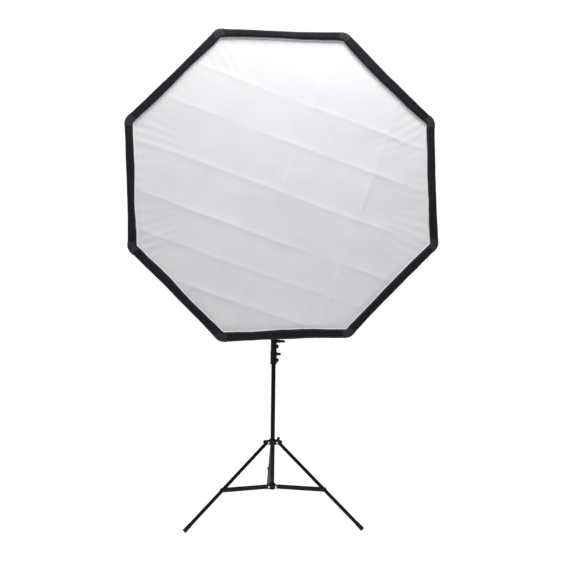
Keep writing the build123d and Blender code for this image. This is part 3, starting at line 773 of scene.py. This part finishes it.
def build_straps():
    """Eight elastic straps from the baffle's corners to the rods."""
    points, faces = [], []
    reach = rod_reach_at(BAFFLE_Z)
    start = BAFFLE_FLAT / cos(HALF) - 0.006
    steps = 14
    for corner in range(SIDES):
        facing = corner * SIDE + HALF
        outward, tangent = outward_at(facing), tangent_at(facing)
        base = len(points)
        for step in range(steps + 1):
            share = step / steps
            out = start + (reach - 0.003 - start) * share
            dip = -0.002 * sin(pi * share)
            for side, high in ((-1, 0), (1, 0), (1, 1), (-1, 1)):
                depth = BAFFLE_Z + dip + 0.0009 * high
                points.append(outward * out + tangent * 0.005 * side + Vector((0, 0, depth)))
        for step in range(steps):
            for edge in range(4):
                a, b = base + step * 4 + edge, base + step * 4 + (edge + 1) % 4
                faces.append((a, b, b + 4, a + 4))
        faces.append((base + 3, base + 2, base + 1, base))
        end = base + steps * 4
        faces.append((end, end + 1, end + 2, end + 3))
    piece = mesh_piece("elastic_straps", points, faces, [ELASTIC])
    finish_piece(piece, "softbox", "trim_fabric", "baffle_straps")


def build_cuff():
    """Gathered cuff that closes the cover round the speedring, with an elastic in its hem."""
    profile = ((0.0735, 0.0622), (0.0752, 0.0604), (0.0785, 0.0600), (0.0830, 0.0604), (0.0870, 0.0625),
               (0.0895, 0.0660), (0.0912, 0.0705), (0.0925, 0.0745))
    spokes = 288
    points = []
    for number, (reach, depth) in enumerate(profile):
        share = number / (len(profile) - 1)
        for spoke in range(spokes):
            angle = 2 * pi * spoke / spokes
            nearest = floor(angle / SIDE + 0.5) * SIDE
            octagon = cos(HALF) / cos(angle - nearest)
            shape = (1 - share ** 2) + share ** 2 * octagon * 1.018
            pleat = sin(36 * angle + 0.8 * wobble(cos(angle), sin(angle), 0.0, 3))
            pleat *= sin(pi * min(1, share * 1.1))
            points.append(outward_at(angle) * reach * shape + Vector((0, 0, depth - 0.0010 * pleat)))
    faces = grid_faces(len(profile), spokes, close_columns=True)
    piece = mesh_piece("rear_cuff", points, faces, [CANOPY_BLACK, SILVER], warp=False)
    thicken(piece, 0.0009, offset=-1, inner_material=1)
    subdivide(piece, 1)
    settle(piece)
    return finish_piece(piece, "softbox", "black_fabric", "rear_collar")


def reshape_nodes(names, materials, piece_name, slot_name):
    """Carries CAD pieces over with the same out-of-true corners as the cloth around them."""
    back = BOX_PLACE.inverted()
    points, faces = [], []
    for name in names:
        base = len(points)
        mesh = nodes[name].data
        points += [back @ vertex.co for vertex in mesh.vertices]
        faces += [tuple(base + v for v in polygon.vertices) for polygon in mesh.polygons]
    piece = mesh_piece(piece_name, points, faces, materials)
    finish_piece(piece, "softbox", slot_name, *names)


def build_rods():
    """The eight rods, their tips, and the cups that take them at the front corners."""
    for number in range(1, SIDES + 1):
        reshape_nodes([f"rod_{number}"], [CAD_LOOKS["rod_fibre"]], f"bent_rod_{number}", "rod_fibre")
    reshape_nodes(["rod_tips"], [CAD_LOOKS["knob_plastic"]], "rod_end_caps", "rod_fibre")
    reshape_nodes(["corner_pockets"], [PATCH_GREY], "corner_pocket_cloth", "black_fabric")


# ---------------------------------------------------------------- camera, light and floor

def add_camera():
    """The viewing angle: nearly three metres off, just right of square, a little upwards."""
    data = bpy.data.cameras.new("camera")
    data.sensor_width = 36.0
    data.lens = 42.31
    camera = bpy.data.objects.new("camera", data)
    turn = (Matrix.Rotation(radians(-3.81), 4, "Z") @ Matrix.Rotation(radians(1.535), 4, "X")
            @ Matrix.Rotation(radians(-0.65), 4, "Y") @ Matrix.Rotation(pi / 2, 4, "X"))
    camera.matrix_world = Matrix.Translation((-0.150, COLUMN_Y - 2.953, 0.929)) @ turn
    bpy.context.scene.collection.objects.link(camera)
    bpy.context.scene.camera = camera


def add_light(name, place, target, size, watts):
    """A square soft light at a place, turned to a target."""
    data = bpy.data.lights.new(name, "AREA")
    data.shape = "SQUARE"
    data.size = size
    data.energy = watts
    light = bpy.data.objects.new(name, data)
    light.location = place
    light.rotation_euler = (Vector(target) - Vector(place)).to_track_quat("-Z", "Y").to_euler()
    bpy.context.scene.collection.objects.link(light)


def add_studio():
    """White surroundings, three soft lights and a white floor."""
    scene = bpy.context.scene
    scene.view_settings.view_transform = "Standard"
    scene.world = scene.world or bpy.data.worlds.new("studio")
    scene.world.use_nodes = True
    tree = scene.world.node_tree
    tree.nodes.clear()
    seen = tree.nodes.new("ShaderNodeBackground")
    seen.inputs["Color"].default_value = (1, 1, 1, 1)
    seen.inputs["Strength"].default_value = 1.05
    lit = tree.nodes.new("ShaderNodeBackground")
    lit.inputs["Color"].default_value = (0.97, 0.97, 1.0, 1)
    lit.inputs["Strength"].default_value = 0.31
    path = tree.nodes.new("ShaderNodeLightPath")
    mix = tree.nodes.new("ShaderNodeMixShader")
    output = tree.nodes.new("ShaderNodeOutputWorld")
    tree.links.new(path.outputs["Is Camera Ray"], mix.inputs[0])
    tree.links.new(lit.outputs[0], mix.inputs[1])
    tree.links.new(seen.outputs[0], mix.inputs[2])
    tree.links.new(mix.outputs[0], output.inputs["Surface"])

    add_light("key", (0.15, -1.35, 3.0), (0, -0.5, 1.6), 1.0, 37)
    add_light("fill_left", (-2.6, -1.2, 1.6), (0, 0, 1.0), 1.6, 7)
    add_light("fill_back", (1.4, 2.8, 2.4), (0, 0, 1.2), 1.8, 20)

    size, spokes = 1.5, 96
    points = [(size * cos(2 * pi * k / spokes), size * sin(2 * pi * k / spokes), 0) for k in range(spokes)]
    look = Look("floor_white", (0.92, 0.92, 0.92), 0.85)
    look.tint(look.noise(2, 3), (0.90, 0.90, 0.90), 0.4, 0.7)
    look.shader.inputs["Emission Color"].default_value = (1, 1, 1, 1)
    look.shader.inputs["Emission Strength"].default_value = 0.72
    ground = mesh_piece("studio_floor", points, [tuple(range(spokes))], [look.material],
                        warp=False, place=Matrix.Identity(4))


# ---------------------------------------------------------------- latch spring

SPRING_COILS = 5
SPRING_RADIUS = 0.0039
SPRING_WIRE = 0.00045


def build_latch_spring():
    """The coil over the latch pin, drawn at rest with evenly spaced turns. The real coil shortens towards
    its upper end as the latch is lifted.
    """
    low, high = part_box("latch_spring")
    centre_x, centre_y = (low[0] + high[0]) / 2, (low[1] + high[1]) / 2
    bottom, top = low[2] + SPRING_WIRE, high[2] - SPRING_WIRE
    steps, around = SPRING_COILS * 32, 10
    points = []
    for step in range(steps + 1):
        angle = 2 * pi * SPRING_COILS * step / steps
        outward = outward_at(angle)
        height = bottom + (top - bottom) * step / steps
        middle = Vector((centre_x, centre_y, height)) + outward * SPRING_RADIUS
        for part in range(around):
            swing = 2 * pi * part / around
            points.append(middle + outward * (SPRING_WIRE * cos(swing))
                          + Vector((0, 0, SPRING_WIRE * sin(swing))))
    faces = grid_faces(steps + 1, around, close_columns=True)
    faces += [tuple(range(around)), tuple(steps * around + k for k in reversed(range(around)))]
    spring = mesh_piece("latch_coil", points, faces, [CAD_LOOKS["bright_steel"]], warp=False,
                        place=Matrix.Identity(4))
    finish_piece(spring, "bracket_frame", "bright_steel", "latch_spring")
    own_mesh(spring)


# ---------------------------------------------------------------- put together

add_camera()
add_studio()
dress_cad_nodes()
canopy = build_canopy()
build_ridge_tapes()
rim = build_rim()
build_piping()
build_corner_patches()
diffuser = build_diffuser()
build_diffuser_hem()
build_hook_tape()
baffle = build_baffle()
build_straps()
cuff = build_cuff()
build_rods()
build_latch_spring()
